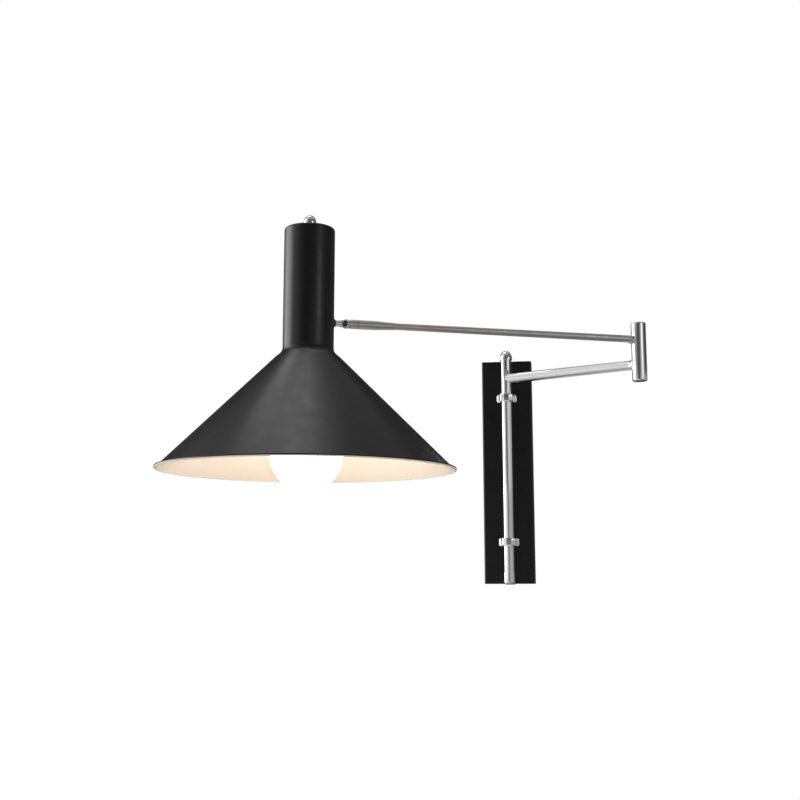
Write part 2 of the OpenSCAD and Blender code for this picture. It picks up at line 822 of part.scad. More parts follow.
// The fork's two cheeks hold the stub's tongue; its spindle turns in the ferrule
module swivel_fork() {
    color(chrome) shade_frame() difference() {
        union() {
            intersection() {
                rod_x(tilt_x - fork_r - cut, fork_end, fork_r);
                union() {
                    translate([tilt_x, 0, 0]) rod_along_y(-ferrule_d, ferrule_d, fork_r);
                    translate([tilt_x, -ferrule_d, -ferrule_d])
                        cube([fork_end - tilt_x, 2 * ferrule_d, 2 * ferrule_d]);
                }
            }
            rod_x(fork_end - cut, fork_end + spindle_len, spindle_r);
        }
        translate([tilt_x - 2 * fork_r, -slot_half, -ferrule_d])
            cube([slot_end - tilt_x + 2 * fork_r, 2 * slot_half, 2 * ferrule_d]);
        rod_x(slot_end - cut, fork_end + spindle_len + cut, cable_r);
        translate([ferrule_screw_x, 0, 0]) rotate([0, 90, 0])
            ring(-spindle_groove_w / 2, spindle_groove_w / 2,
                spindle_r + cut, spindle_groove_r);
        translate([tilt_x, 0, 0]) {
            rod_along_y(-ferrule_d, ferrule_d, tilt_screw_d / 2);
            rod_along_y(-ferrule_d, tilt_head_y, tilt_head_d / 2 + pocket_gap);
            translate([0, tilt_nut_y, 0]) rotate([-90, 0, 0])
                cylinder(h = ferrule_d, r = tilt_nut_r + pocket_gap, $fn = 6);
        }
    }
}

module tilt_screw() {
    len = tilt_nut_y + tilt_nut_h - tilt_head_y;
    color(chrome) shade_frame() translate([tilt_x, tilt_head_y, 0])
        rotate([90, 0, 0]) pan_screw(tilt_screw_d, len, tilt_head_d, tilt_head_h);
}

module tilt_nut() {
    color(steel) shade_frame() translate([tilt_x, tilt_nut_y, 0])
        rotate([-90, 0, 0]) hex_nut(tilt_nut_h, tilt_nut_r, tilt_screw_d / 2);
}

module tilt_washers() {
    washer_r = fork_r - 0.6;
    color(dark_plastic) shade_frame() translate([tilt_x, 0, 0]) for (side = [-1, 1])
        rotate([90, 0, 0]) translate([0, 0, side * (slot_half - friction_t / 2)])
            ring(-friction_t / 2, friction_t / 2, washer_r, tilt_screw_d / 2);
}

module tilt_stub() {
    shank_end = tilt_x - fork_r - lobe_clear;
    color(chrome) hung_frame() difference() {
        union() {
            rod_x(stub_nut_x - stub_nut_h - thread_end, shank_end, stub_r);
            translate([shank_end - cut, -tongue_t / 2, -stub_r])
                cube([tilt_x - shank_end + cut, tongue_t, 2 * stub_r]);
            translate([tilt_x, 0, 0]) rod_along_y(-tongue_t / 2, tongue_t / 2, tongue_r);
        }
        translate([tilt_x, 0, 0]) rod_along_y(-ferrule_d, ferrule_d, tilt_screw_d / 2 + run_gap);
    }
}

// Shade

module stub_collar() {
    flare = 5;
    lip = 1.2;
    color(black) hung_frame() difference() {
        rod_x(neck_ri, collar_x, stub_r + flare, stub_r + lip);
        rod_x(neck_ri - cut, collar_x + cut, stub_r);
        cylinder(h = 6 * stub_d, r = neck_r, center = true);
    }
}

module stub_washer() {
    color(steel) hung_frame() difference() {
        intersection() {
            rod_x(stub_nut_x, neck_r, stub_nut_r + 1);
            cylinder(h = 6 * stub_d, r = neck_ri, center = true);
        }
        rod_x(stub_nut_x - cut, neck_r, stub_r);
    }
}

module stub_nut() {
    color(steel) hung_frame() translate([stub_nut_x - stub_nut_h, 0, 0])
        rotate([0, 90, 0]) hex_nut(stub_nut_h, stub_nut_r, stub_r);
}

module neck_tube() {
    edge_ri = max(neck_edge_r - neck_wall, 0.3);
    color(black) hung_frame() difference() {
        rotate_extrude() polygon(concat(
            [[stem_r, neck_rise]],
            arc(neck_r - neck_edge_r, neck_rise - neck_edge_r, neck_edge_r, 90, 0),
            [[neck_r, seam_z], [neck_ri, seam_z]],
            arc(neck_ri - edge_ri, neck_rise - neck_wall - edge_ri, edge_ri, 0, 90),
            [[stem_r, neck_rise - neck_wall]]));
        rod_x(0, neck_r + cut, stub_r);
    }
}

// Spun cone: a collar inside the neck, the flare, the shoulder, the straight flank
// and the rolled rim
module cone_shade() {
    roll_start = 180 + cone_angle - acos((roll_r - cone_wall) / roll_r);
    inner_top_a = 20;
    inner_r = flare_r + cone_wall;
    bend_a = (shoulder_a + cone_angle) / 2;
    bend_w = cone_wall / cos((shoulder_a - cone_angle) / 2);
    color(black) hung_frame() rotate_extrude($fn = 120) polygon(concat(
        [[collar_r - cone_wall, seam_z + collar_h], [collar_r, seam_z + collar_h],
         [collar_r, seam_z], [neck_r, seam_z]],
        arc(flare_x, flare_z, flare_r, 180 + flare_top_a, 180 + flare_foot_a),
        [[flank_x, flank_z]],
        arc(roll_x, roll_z, roll_r, roll_start, cone_angle - 180, 20),
        [[flank_x - bend_w * cos(bend_a), flank_z - bend_w * sin(bend_a)]],
        arc(flare_x, flare_z, inner_r, 180 + flare_foot_a, 180 + inner_top_a)));
}

module neck_washer() {
    color(chrome) hung_frame()
        ring(neck_rise, neck_rise + neck_washer_t, neck_washer_r, stem_r);
}

module neck_nut() {
    color(chrome) hung_frame() translate([0, 0, neck_rise + neck_washer_t]) difference() {
        rotate_extrude() dome_outline(finial_d / 2, finial_h, finial_band);
        translate([0, 0, -cut]) cylinder(h = stem_grip + cut, r = stem_r);
    }
}

module stem_tube() {
    color(steel) hung_frame() ring(stem_foot, stem_top, stem_r, stem_bore_r);
}

// One nut under the neck's top, one locking the lampholder's cap
module stem_nuts() {
    color(steel) hung_frame()
        for (z = [neck_rise - neck_wall - stem_nut_h, holder_cap_top])
            translate([0, 0, z]) hex_nut(stem_nut_h, stem_nut_r, stem_r);
}

// Lampholder

module holder_cap() {
    shoulder = 5;
    boss_h = 4;
    boss_foot_r = stem_r + 4;
    boss_top_r = stem_r + 3;
    roof = holder_cap_top - boss_h;
    skirt_r = holder_r - holder_wall;
    color(dark_plastic) hung_frame() difference() {
        rotate_extrude() polygon(concat(
            [[skirt_r, holder_top], [holder_r, holder_top]],
            arc(holder_r - shoulder, roof - shoulder, shoulder, 0, 90),
            [[boss_foot_r, roof], [boss_top_r, holder_cap_top], [stem_r, holder_cap_top],
             [stem_r, roof - holder_wall], [skirt_r, roof - holder_wall]]));
        translate([-holder_r, 0, holder_top + shoulder])
            rod_x(-cut, 2 * holder_wall, cable_r);
    }
}

// The shell's foot is open for the bulb, and a ledge carries the insert
module holder_shell() {
    skirt_r = holder_r - holder_wall;
    ledge_z = insert_z - fit_gap;
    bevel = 1;
    color(dark_plastic) hung_frame() rotate_extrude() polygon([
        [thread_r + thread_t, holder_foot], [holder_r - bevel, holder_foot],
        [holder_r, holder_foot + bevel], [holder_r, holder_top], [skirt_r, holder_top],
        [skirt_r, ledge_z], [thread_r + thread_t, ledge_z]
    ]);
}

module holder_insert() {
    r = holder_r - holder_wall - fit_gap;
    terminal_r = 1.8;
    color(nylon) hung_frame() difference() {
        translate([0, 0, insert_z]) cylinder(h = insert_h, r = r);
        for (side = [-1, 1]) translate([side * 0.55 * r, 0, insert_z - cut])
            cylinder(h = insert_h + 2 * cut, r = terminal_r);
    }
}

// Thread sleeve round the bulb's cap, with an inward lip under the insert
module holder_thread() {
    lip_r = thread_r - 2;
    color(brass) hung_frame() rotate_extrude() polygon([
        [thread_r, holder_foot + thread_t], [thread_r + thread_t, holder_foot + thread_t],
        [thread_r + thread_t, insert_z], [lip_r, insert_z],
        [lip_r, insert_z - thread_t], [thread_r, insert_z - thread_t]
    ]);
}

module holder_contact() {
    strip_w = 5;
    strip_back = 8;
    strip_front = 3;
    color(brass) hung_frame() translate([-strip_back, -strip_w / 2, bulb_tip])
        cube([strip_back + strip_front, strip_w, contact_t]);
}

// Bulb

module bulb_glass() {
    reach = bulb_r + glass_fillet;
    dx = glass_neck_r + glass_fillet;
    dz = sqrt(reach * reach - dx * dx);
    tangent = atan2(dz, dx);
    pole = -80;
    step = 2;
    lip_r = cap_r - 1;
    color(frosted) hung_frame() rotate_extrude($fn = 96) polygon(concat(
        [[0, bulb_z - bulb_r]],
        arc(0, bulb_z, bulb_r, pole, tangent, 28),
        arc(dx, bulb_z + dz, glass_fillet, 180 + tangent, 180, 6),
        [[glass_neck_r, cap_foot - step], [lip_r, cap_foot], [lip_r - glass_t, cap_foot],
         [glass_neck_r - glass_t, cap_foot - step - glass_t]],
        arc(dx, bulb_z + dz, glass_fillet + glass_t, 180, 180 + tangent, 6),
        arc(0, bulb_z, bulb_r - glass_t, tangent, pole, 28),
        [[0, bulb_z - bulb_r + glass_t]]));
}

// Screw cap: ridges along the thread's pitch, drawn as rings
module bulb_cap() {
    pitch = 3.6;
    turns = 4;
    thread_foot = cap_top - 3 - turns * pitch;
    ridge = [[0.25, 0.5], [0.5, 0], [0.75, 0.5], [1, 0.9]];
    color(steel) hung_frame() rotate_extrude() polygon(concat(
        [[0, cap_foot], [cap_r, cap_foot], [cap_r, thread_foot]],
        [for (i = [0:turns - 1], t = ridge)
            [cap_r - t[1], thread_foot + (i + t[0]) * pitch]],
        [[nose_r, cap_top], [0, cap_top]]));
}

module bulb_insulator() {
    tip_r = 5.5;
    color(dark_plastic) hung_frame() translate([0, 0, cap_top])
        cylinder(h = bulb_nose_h - contact_h, r1 = nose_r, r2 = tip_r);
}

module bulb_contact() {
    foot_r = 5;
    tip_r = 4;
    color(steel) hung_frame() translate([0, 0, bulb_tip - contact_h])
        cylinder(h = contact_h, r1 = foot_r, r2 = tip_r);
}

wall_bracket();
wall_cover();
cover_screws();
terminal_block();
terminal_screws();
block_screw();
earth_screw();
cable_grommet();
clip_upper();
clip_lower();
clip_pads();
clip_screws();
clip_nuts();
pivot_rod();
rod_top_nut();
rod_end_cap();
cable_bush();
lower_arm();
lower_knuckle();
elbow_pivot();
elbow_end_lower();
elbow_washer();
elbow_spring();
elbow_nut();
upper_knuckle();
elbow_bush();
elbow_end_upper();
upper_arm();
arm_ferrule();
ferrule_screw();
swivel_fork();
tilt_screw();
tilt_nut();
tilt_washers();
tilt_stub();
stub_collar();
stub_washer();
stub_nut();
neck_tube();
cone_shade();
neck_washer();
neck_nut();
stem_tube();
stem_nuts();
holder_cap();
holder_shell();
holder_insert();
holder_thread();
holder_contact();
bulb_glass();
bulb_cap();
bulb_insulator();
bulb_contact();
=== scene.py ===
"""Looks of a swing arm wall lamp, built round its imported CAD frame."""
import json
import math

import bmesh  # noqa: E402
import bpy  # noqa: E402
from mathutils import Matrix, Vector  # noqa: E402


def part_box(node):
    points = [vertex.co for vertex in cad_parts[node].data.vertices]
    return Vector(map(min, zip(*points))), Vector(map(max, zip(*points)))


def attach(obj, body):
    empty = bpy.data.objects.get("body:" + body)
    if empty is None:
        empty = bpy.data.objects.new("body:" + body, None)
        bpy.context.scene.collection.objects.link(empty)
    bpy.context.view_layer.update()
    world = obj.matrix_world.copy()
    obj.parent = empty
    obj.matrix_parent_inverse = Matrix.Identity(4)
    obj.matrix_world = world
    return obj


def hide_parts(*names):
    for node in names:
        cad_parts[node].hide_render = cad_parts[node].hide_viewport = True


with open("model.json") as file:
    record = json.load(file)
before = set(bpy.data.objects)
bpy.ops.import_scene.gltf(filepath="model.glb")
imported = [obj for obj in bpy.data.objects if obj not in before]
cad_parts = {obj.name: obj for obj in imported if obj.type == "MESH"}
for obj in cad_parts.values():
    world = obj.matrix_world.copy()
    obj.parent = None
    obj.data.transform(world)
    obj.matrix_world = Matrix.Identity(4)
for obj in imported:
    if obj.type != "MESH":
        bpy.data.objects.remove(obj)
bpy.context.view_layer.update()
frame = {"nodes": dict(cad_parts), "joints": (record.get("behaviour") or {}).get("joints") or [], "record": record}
nodes = frame["nodes"]
joints = {j["name"]: j for j in frame["joints"]}
scene = bpy.context.scene
scene.view_settings.view_transform = "Standard"
MM = 0.001


# Camera: fitted to the edges of the photograph. Place in metres, angles in degrees.

CAMERA_PLACE = (0.0665, -1.5632, -0.1317)
CAMERA_YAW, CAMERA_PITCH, CAMERA_ROLL = -7.62, 8.33, -0.22
LENS_MM, SENSOR_MM = 54, 36
CLIP_NEAR, CLIP_FAR = 0.05, 50


def make_camera():
    """The photograph's camera, with no shift."""
    yaw, pitch, roll = (math.radians(a) for a in (CAMERA_YAW, CAMERA_PITCH, CAMERA_ROLL))
    ahead = Vector((math.sin(yaw) * math.cos(pitch), math.cos(yaw) * math.cos(pitch),
                    math.sin(pitch)))
    right = ahead.cross(Vector((0, 0, 1))).normalized()
    up = right.cross(ahead)
    right, up = (math.cos(roll) * right + math.sin(roll) * up,
                 math.cos(roll) * up - math.sin(roll) * right)
    data = bpy.data.cameras.new("camera")
    data.sensor_width = SENSOR_MM
    data.lens = LENS_MM
    data.clip_start, data.clip_end = CLIP_NEAR, CLIP_FAR
    camera = bpy.data.objects.new("camera", data)
    scene.collection.objects.link(camera)
    turn = Matrix((right, up, -ahead)).transposed().to_4x4()
    camera.matrix_world = Matrix.Translation(CAMERA_PLACE) @ turn
    scene.camera = camera


# Materials

NOISE_LOW, NOISE_HIGH = 0.3, 0.7    # the part of a noise that is spread over a range


class Finish:
    """A node material whose colour, gloss and height can vary by noise."""

    def __init__(self, name, color, metallic, roughness):
        self.mat = bpy.data.materials.new(name)
        self.mat.use_nodes = True
        self.tree = self.mat.node_tree
        self.nodes = self.tree.nodes
        self.shader = self.nodes["Principled BSDF"]
        self.set("Base Color", (*color, 1))
        self.set("Metallic", metallic)
        self.set("Roughness", roughness)
        self.coords = self.nodes.new("ShaderNodeTexCoord")

    def set(self, socket, value):
        self.shader.inputs[socket].default_value = value

    def link(self, a, b):
        self.tree.links.new(a, b)

    def noise(self, scale, detail):
        """Noise over the object's own metres."""
        tex = self.nodes.new("ShaderNodeTexNoise")
        tex.inputs["Scale"].default_value = scale
        tex.inputs["Detail"].default_value = detail
        self.link(self.coords.outputs["Object"], tex.inputs["Vector"])
        return tex.outputs["Fac"]

    def spread(self, value, low, high):
        """A noise as a number from low to high."""
        node = self.nodes.new("ShaderNodeMapRange")
        for key, number in (("From Min", NOISE_LOW), ("From Max", NOISE_HIGH),
                            ("To Min", low), ("To Max", high)):
            node.inputs[key].default_value = number
        self.link(value, node.inputs["Value"])
        return node.outputs["Result"]

    def tint(self, scale, detail, dark, light):
        """Base colour between two colours."""
        node = self.nodes.new("ShaderNodeMix")
        node.data_type = "RGBA"
        node.inputs["A"].default_value = (*dark, 1)
        node.inputs["B"].default_value = (*light, 1)
        self.link(self.spread(self.noise(scale, detail), 0, 1), node.inputs["Factor"])
        self.link(node.outputs["Result"], self.shader.inputs["Base Color"])

    def gloss(self, scale, detail, low, high):
        """Roughness between two values."""
        value = self.spread(self.noise(scale, detail), low, high)
        self.link(value, self.shader.inputs["Roughness"])

    def grain(self, scale, detail, depth, strength):
        """Bumps, their depth in metres."""
        node = self.nodes.new("ShaderNodeBump")
        node.inputs["Distance"].default_value = depth
        node.inputs["Strength"].default_value = strength
        self.link(self.noise(scale, detail), node.inputs["Height"])
        self.link(node.outputs["Normal"], self.shader.inputs["Normal"])


def surface(name, color, roughness, tint, gloss, grain, metallic=0):
    """A material. tint, gloss and grain start with their noise's scale and detail;
    then come two colours, two roughnesses, or a depth in metres and a strength."""
    f = Finish(name, color, metallic, roughness)
    f.tint(*tint)
    f.gloss(*gloss)
    f.grain(*grain)
    return f.mat


def plastic(name, color, roughness, grain_scale=900):
    """Moulded plastic with a fine spark-eroded grain."""
    return surface(
        name, color, roughness, tint=(45, 3, tuple(c * 0.9 for c in color), color),
        gloss=(200, 3, roughness - 0.05, roughness + 0.06),
        grain=(grain_scale, 3, 0.00002, 0.7))


def lit(material, color, strength):
    """The material, giving light of its own."""
    shader = material.node_tree.nodes["Principled BSDF"]
    shader.inputs["Emission Color"].default_value = (*color, 1)
    shader.inputs["Emission Strength"].default_value = strength
    return material


make_camera()

# Satin black paint: a faint orange peel and slightly uneven gloss.
BLACK = surface(
    "black_paint", (0.0042, 0.0042, 0.0047), 0.3,
    tint=(14, 3, (0.0037, 0.0037, 0.0042), (0.0048, 0.0046, 0.0052)),
    gloss=(60, 4, 0.27, 0.33), grain=(1400, 2, 0.00002, 0.6))
# Cream gloss paint of the shade's inside.
CREAM = surface(
    "cream_paint", (0.9, 0.81, 0.705), 0.35,
    tint=(18, 3, (0.89, 0.795, 0.69), (0.91, 0.82, 0.72)),
    gloss=(50, 3, 0.32, 0.4), grain=(1200, 2, 0.00002, 0.5))
# Polished chrome plate over tube, with faint polishing haze.
CHROME = surface(
    "chrome", (0.89, 0.89, 0.9), 0.07, metallic=1,
    tint=(40, 3, (0.87, 0.87, 0.88), (0.91, 0.91, 0.92)),
    gloss=(220, 5, 0.05, 0.085), grain=(2600, 2, 0.000001, 0.3))
# Bright zinc plate with small crystals.
ZINC = surface(
    "zinc", (0.5, 0.51, 0.52), 0.35, metallic=1,
    tint=(260, 5, (0.4, 0.41, 0.43), (0.6, 0.6, 0.58)),
    gloss=(500, 4, 0.28, 0.45), grain=(1800, 3, 0.00001, 0.5))
# Plain brass, slightly tarnished.
BRASS = surface(
    "brass", (0.72, 0.52, 0.2), 0.3, metallic=1,
    tint=(90, 4, (0.66, 0.46, 0.17), (0.78, 0.58, 0.25)),
    gloss=(300, 4, 0.22, 0.38), grain=(1500, 3, 0.000008, 0.5))
RUBBER = plastic("rubber", (0.02, 0.02, 0.02), 0.7, 600)
NYLON = plastic("nylon", (0.72, 0.7, 0.64), 0.45)
PHENOLIC = plastic("phenolic", (0.018, 0.017, 0.017), 0.32)
WHITE = plastic("white_plastic", (0.8, 0.79, 0.74), 0.4)
# Unglazed porcelain of the lampholder's insert.
PORCELAIN = surface(
    "porcelain", (0.82, 0.8, 0.75), 0.55,
    tint=(120, 5, (0.78, 0.76, 0.7), (0.85, 0.84, 0.79)),
    gloss=(260, 4, 0.48, 0.62), grain=(700, 4, 0.00003, 0.6))
# Frosted globe of a lamp that is switched on.
GLASS = lit(surface(
    "lit_glass", (0.95, 0.93, 0.88), 0.3,
    tint=(60, 3, (0.94, 0.92, 0.86), (0.96, 0.94, 0.9)),
    gloss=(80, 3, 0.25, 0.36), grain=(900, 2, 0.00001, 0.4)), (1.0, 0.84, 0.66), 9)
# Thin drawn metal of the bulb's cap.
BULB_METAL = surface(
    "bulb_metal", (0.7, 0.7, 0.69), 0.25, metallic=1,
    tint=(150, 4, (0.62, 0.62, 0.61), (0.76, 0.76, 0.75)),
    gloss=(400, 4, 0.18, 0.34), grain=(1600, 3, 0.000005, 0.5))
# Satin chrome of the upper arm, its ferrule and the fork's stem, its colour darkened as painted shade for the dim
# reflections these parts show.
SHADED_SATIN = surface(
    "shaded_satin_chrome", (0.6, 0.565, 0.55), 0.34, metallic=1,
    tint=(30, 3, (0.56, 0.525, 0.51), (0.64, 0.605, 0.59)),
    gloss=(180, 4, 0.3, 0.38), grain=(2200, 2, 0.000002, 0.4))
# Near-black metal of the swivel fork's cheeks and the tilt screw: painted shade, standing in for the shadow on the
# fork's rounded end.
PAINTED_SHADE_STEEL = surface(
    "painted_shade_steel", (0.1, 0.095, 0.09), 0.2, metallic=1,
    tint=(90, 3, (0.08, 0.075, 0.07), (0.12, 0.115, 0.11)),
    gloss=(300, 4, 0.16, 0.26), grain=(1800, 2, 0.000002, 0.4))
BULB_BLACK = plastic("bulb_black", (0.015, 0.015, 0.015), 0.15, 300)

BY_SLOT = {
    "satin_black": BLACK, "shade_paint": BLACK, "zinc_steel": ZINC, "white_plastic": WHITE,
    "brass": BRASS, "black_rubber": RUBBER, "chrome": CHROME, "nylon": NYLON,
    "phenolic": PHENOLIC, "porcelain": PORCELAIN, "bulb_glass": GLASS,
    "bulb_metal": BULB_METAL, "bulb_black_glass": BULB_BLACK,
}
SLOT_OF = {s["node"]: s["material_slot"] for s in frame["record"]["subparts"]}
# Pieces with looks of their own: the ferrule in satin chrome darkened as painted shade, the tilt screw in
# near-black painted shade, the neck's washer in the black paint.
FINISH_AND_SHADE = {"arm_ferrule": SHADED_SATIN, "tilt_screw": PAINTED_SHADE_STEEL, "neck_washer": BLACK}
for name, obj in nodes.items():
    obj.data.materials.clear()
    obj.data.materials.append(FINISH_AND_SHADE.get(name, BY_SLOT[SLOT_OF[name]]))


# Frames of the lamp's pieces. From here to the studio, lengths are in millimetres.

def at(point, x_axis, z_axis=(0, 0, 1)):
    """Matrix of a frame at a point in metres, whose own lengths are millimetres."""
    z = Vector(z_axis).normalized()
    x = Vector(x_axis).normalized()
    y = z.cross(x)
    m = Matrix((x, y, z)).transposed().to_4x4()
    return Matrix.Translation(point) @ m @ Matrix.Scale(MM, 4)


def centre(node):
    """Middle of a node's box, in metres."""
    lo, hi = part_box(node)
    return (lo + hi) / 2


rod_axis = Vector(joints["rod_swing"]["pos_m"])
elbow = Vector(joints["elbow_swing"]["pos_m"])
pivot = Vector(joints["shade_tilt"]["pos_m"])
tilt_axis = Vector(joints["shade_tilt"]["axis"])
arm_dir = Vector(joints["shade_roll"]["axis"]).normalized()
lower_dir = Vector((elbow.x - rod_axis.x, elbow.y - rod_axis.y, 0)).normalized()
lower_z = centre("lower_arm").z

TILT_X = 43.0      # from the neck's axis to the tilt's axis
LEAN = 0.4         # degrees that the shade's own pieces lean, as in the photograph
lean = (Matrix.Translation(pivot)
        @ Matrix.Rotation(math.radians(LEAN), 4, tilt_axis)
        @ Matrix.Translation(-pivot))
FORK = at(pivot - TILT_X * MM * arm_dir, arm_dir)
SHADE = lean @ FORK
UPPER = at(elbow, -arm_dir)
LOWER = at((rod_axis.x, rod_axis.y, lower_z), lower_dir)
ELBOW = at((elbow.x, elbow.y, lower_z), lower_dir)
ROD = at((rod_axis.x, rod_axis.y, 0), (1, 0, 0))


# Mesh helpers

ON_AXIS = 1e-6


def ellipse(across, up, segs):
    """Points of an ellipse, from the first axis towards the second."""
    turns = [2 * math.pi * k / segs for k in range(segs)]
    return [(across * math.cos(a), up * math.sin(a)) for a in turns]


def arc(cx, cy, r, a0, a1, n, *tag):
    """Points of an arc about (cx, cy), in degrees."""
    return [(cx + r * math.cos(math.radians(a0 + (a1 - a0) * i / n)),
             cy + r * math.sin(math.radians(a0 + (a1 - a0) * i / n)), *tag)
            for i in range(n + 1)]


def join_rings(bm, a, b, material_index=0):
    """Faces between two rings. A ring of one point is a pole."""
    count = max(len(a), len(b))
    if count == 1:
        return
    for k in range(count):
        j = (k + 1) % count
        if len(a) == 1:
            face = (a[0], b[j], b[k])
        elif len(b) == 1:
            face = (a[k], a[j], b[0])
        else:
            face = (a[k], a[j], b[j], b[k])
        bm.faces.new(face).material_index = material_index


def shade_smooth(mesh, angle):
    """Smooth shading, with sharp edges where faces meet at more than the angle."""
    for p in mesh.polygons:
        p.use_smooth = True
    mesh.set_sharp_from_angle(angle=math.radians(angle))


def close_mesh(bm, name, angle, place=None):
    """The finished mesh of a bmesh, its normals outwards."""
    bmesh.ops.recalc_face_normals(bm, faces=bm.faces)
    mesh = bpy.data.meshes.new(name)
    bm.to_mesh(mesh)
    bm.free()
    if place is not None:
        mesh.transform(place)
    shade_smooth(mesh, angle)
    return mesh


def new_object(name, mesh, materials):
    """An object of the scene with these materials."""
    for m in materials:
        mesh.materials.append(m)
    obj = bpy.data.objects.new(name, mesh)
    scene.collection.objects.link(obj)
    return obj


def revolve(name, outline, place, materials, segs):
    """Solid of revolution about the frame's Z. Outline points are (r, z) or
    (r, z, material index of the face that starts there)."""
    bm = bmesh.new()
    rings = []
    for r, z, *_ in outline:
        circle = ellipse(r, r, segs) if abs(r) > ON_AXIS else [(0, 0)]
        rings.append([bm.verts.new((x, y, z)) for x, y in circle])
    for i, (_, _, *index) in enumerate(outline):
        join_rings(bm, rings[i], rings[(i + 1) % len(rings)], *index)
    return new_object(name, close_mesh(bm, name, angle=32, place=place), materials)


def skin(name, rings, materials, angle, looped=False, place=None):
    """Skin over rings of the same count of points: looped, or capped at both ends."""
    bm = bmesh.new()
    rows = [[bm.verts.new(p) for p in ring] for ring in rings]
    for a, b in zip(rows, rows[1:] + rows[:1] if looped else rows[1:]):
        join_rings(bm, a, b)
    if not looped:
        bm.faces.new(rows[0][::-1])
        bm.faces.new(rows[-1])
    return new_object(name, close_mesh(bm, name, angle, place), materials)


def stands_for(obj, body, slot, *names):
    """Hangs a piece on its body, in the place of the named nodes."""
    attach(obj, body)
    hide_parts(*names)


# The shade. Heights are from the tilt's axis, angles in degrees.

NECK_R, NECK_WALL, NECK_HOLE = 28.5, 1.0, 5.0
NECK_TOP, NECK_ROUND, NECK_INNER_ROUND = 106.9, 3.0, 1.5
SEAM, SEAM_BEVEL, SEAM_GAP = -30.6, 0.2, 0.02       # where the neck meets the cone
SLEEVE_H, SLEEVE_GAP = 12, 0.05                     # the cone's part inside the neck
LEDGE_INSET = 0.1
RIM_R, RIM_Z, ROLL = 165.0, -167.0, 1.6
ROLL_STEPS = 36
CONE_WALL = 0.8
FLARE_R, FLARE_DROP, FLARE_TOP, FLARE_FOOT = 10.6, 0.4, 8.0, 52.0
FLARE_INNER_TOP = 20
SHOULDER_W, SHOULDER_A, BEND = 3.6, 50.0, 4.0
CREAM_EDGE_Z, CREAM_EDGE_X = -0.1, 0.2              # shares of the roll's radius
COLLAR_BORE, COLLAR_LEN, COLLAR_FOOT_R, COLLAR_TOP_R = 3.62, 2.1, 7.6, 3.85
COLLAR_CURVE, COLLAR_SINK = 2.4, 0.15
COLLAR_SEGS, COLLAR_STEPS = 96, 10
OUTSIDE, INSIDE = 0, 1                              # material indices


def make_neck():
    """Neck, open below: black outside with a rounded top edge, cream inside."""
    ri = NECK_R - NECK_WALL
    ceiling = NECK_TOP - NECK_WALL
    outline = (
        [(NECK_HOLE, NECK_TOP, OUTSIDE)]
        + arc(NECK_R - NECK_ROUND, NECK_TOP - NECK_ROUND, NECK_ROUND, 90, 0, 10, OUTSIDE)
        + [(NECK_R, SEAM + SEAM_BEVEL, OUTSIDE), (NECK_R - SEAM_BEVEL, SEAM, OUTSIDE),
           (ri, SEAM, INSIDE)]
        + arc(ri - NECK_INNER_ROUND, ceiling - NECK_INNER_ROUND, NECK_INNER_ROUND, 0, 90,
              6, INSIDE)
        + [(NECK_HOLE, ceiling, INSIDE)]
    )
    neck = revolve("neck", outline, SHADE, (BLACK, CREAM), segs=192)
    stands_for(neck, "shade", "satin_black", "neck_tube")


def make_cone():
    """Spun cone under a flared collar and a shoulder, with a rolled rim: black
    outside, cream inside and under the roll."""
    top, foot, shoulder = (math.radians(a) for a in (FLARE_TOP, FLARE_FOOT, SHOULDER_A))
    flare_x = NECK_R + FLARE_R * math.cos(top)
    flare_z = SEAM - FLARE_DROP + FLARE_R * math.sin(top)
    flank = Vector((flare_x - FLARE_R * math.cos(foot) + SHOULDER_W,
                    flare_z - FLARE_R * math.sin(foot) - SHOULDER_W / math.tan(shoulder)))
    roll_x, roll_z = RIM_R - ROLL, RIM_Z + ROLL
    dx, dz = roll_x - flank.x, roll_z - flank.y
    slope = math.degrees(math.atan2(dz, dx)) + math.degrees(
        math.acos((ROLL - CONE_WALL) / math.hypot(dx, dz)))
    bend_a = math.radians(slope + SHOULDER_A) / 2
    half = math.radians(SHOULDER_A - slope) / 2
    bend = flank - Vector((math.cos(bend_a), math.sin(bend_a))) * (BEND / math.cos(half))
    roll_start = 180 + slope - math.degrees(math.acos((ROLL - CONE_WALL) / ROLL))

    sleeve_r = NECK_R - NECK_WALL - SLEEVE_GAP
    outer = (
        [(sleeve_r - CONE_WALL, SEAM + SLEEVE_H, INSIDE), (sleeve_r, SEAM + SLEEVE_H, OUTSIDE),
         (sleeve_r, SEAM - SEAM_GAP, OUTSIDE), (NECK_R - LEDGE_INSET, SEAM - SEAM_GAP, OUTSIDE)]
        + arc(flare_x, flare_z, FLARE_R, 180 + FLARE_TOP, 180 + FLARE_FOOT, 12, OUTSIDE)
        + arc(bend.x, bend.y, BEND, SHOULDER_A, slope, 6, OUTSIDE)
    )
    roll = [(x, z, OUTSIDE if z > roll_z + CREAM_EDGE_Z * ROLL
             and x > roll_x - CREAM_EDGE_X * ROLL else INSIDE)
            for x, z in arc(roll_x, roll_z, ROLL, roll_start, slope - 180, ROLL_STEPS)]
    inner = (arc(bend.x, bend.y, BEND - CONE_WALL, slope, SHOULDER_A, 6, INSIDE)
             + arc(flare_x, flare_z, FLARE_R + CONE_WALL, 180 + FLARE_FOOT,
                   180 + FLARE_INNER_TOP, 8, INSIDE))
    cone = revolve("cone", outer + roll + inner, SHADE, (BLACK, CREAM), segs=256)
    stands_for(cone, "shade", "shade_paint", "cone_shade")


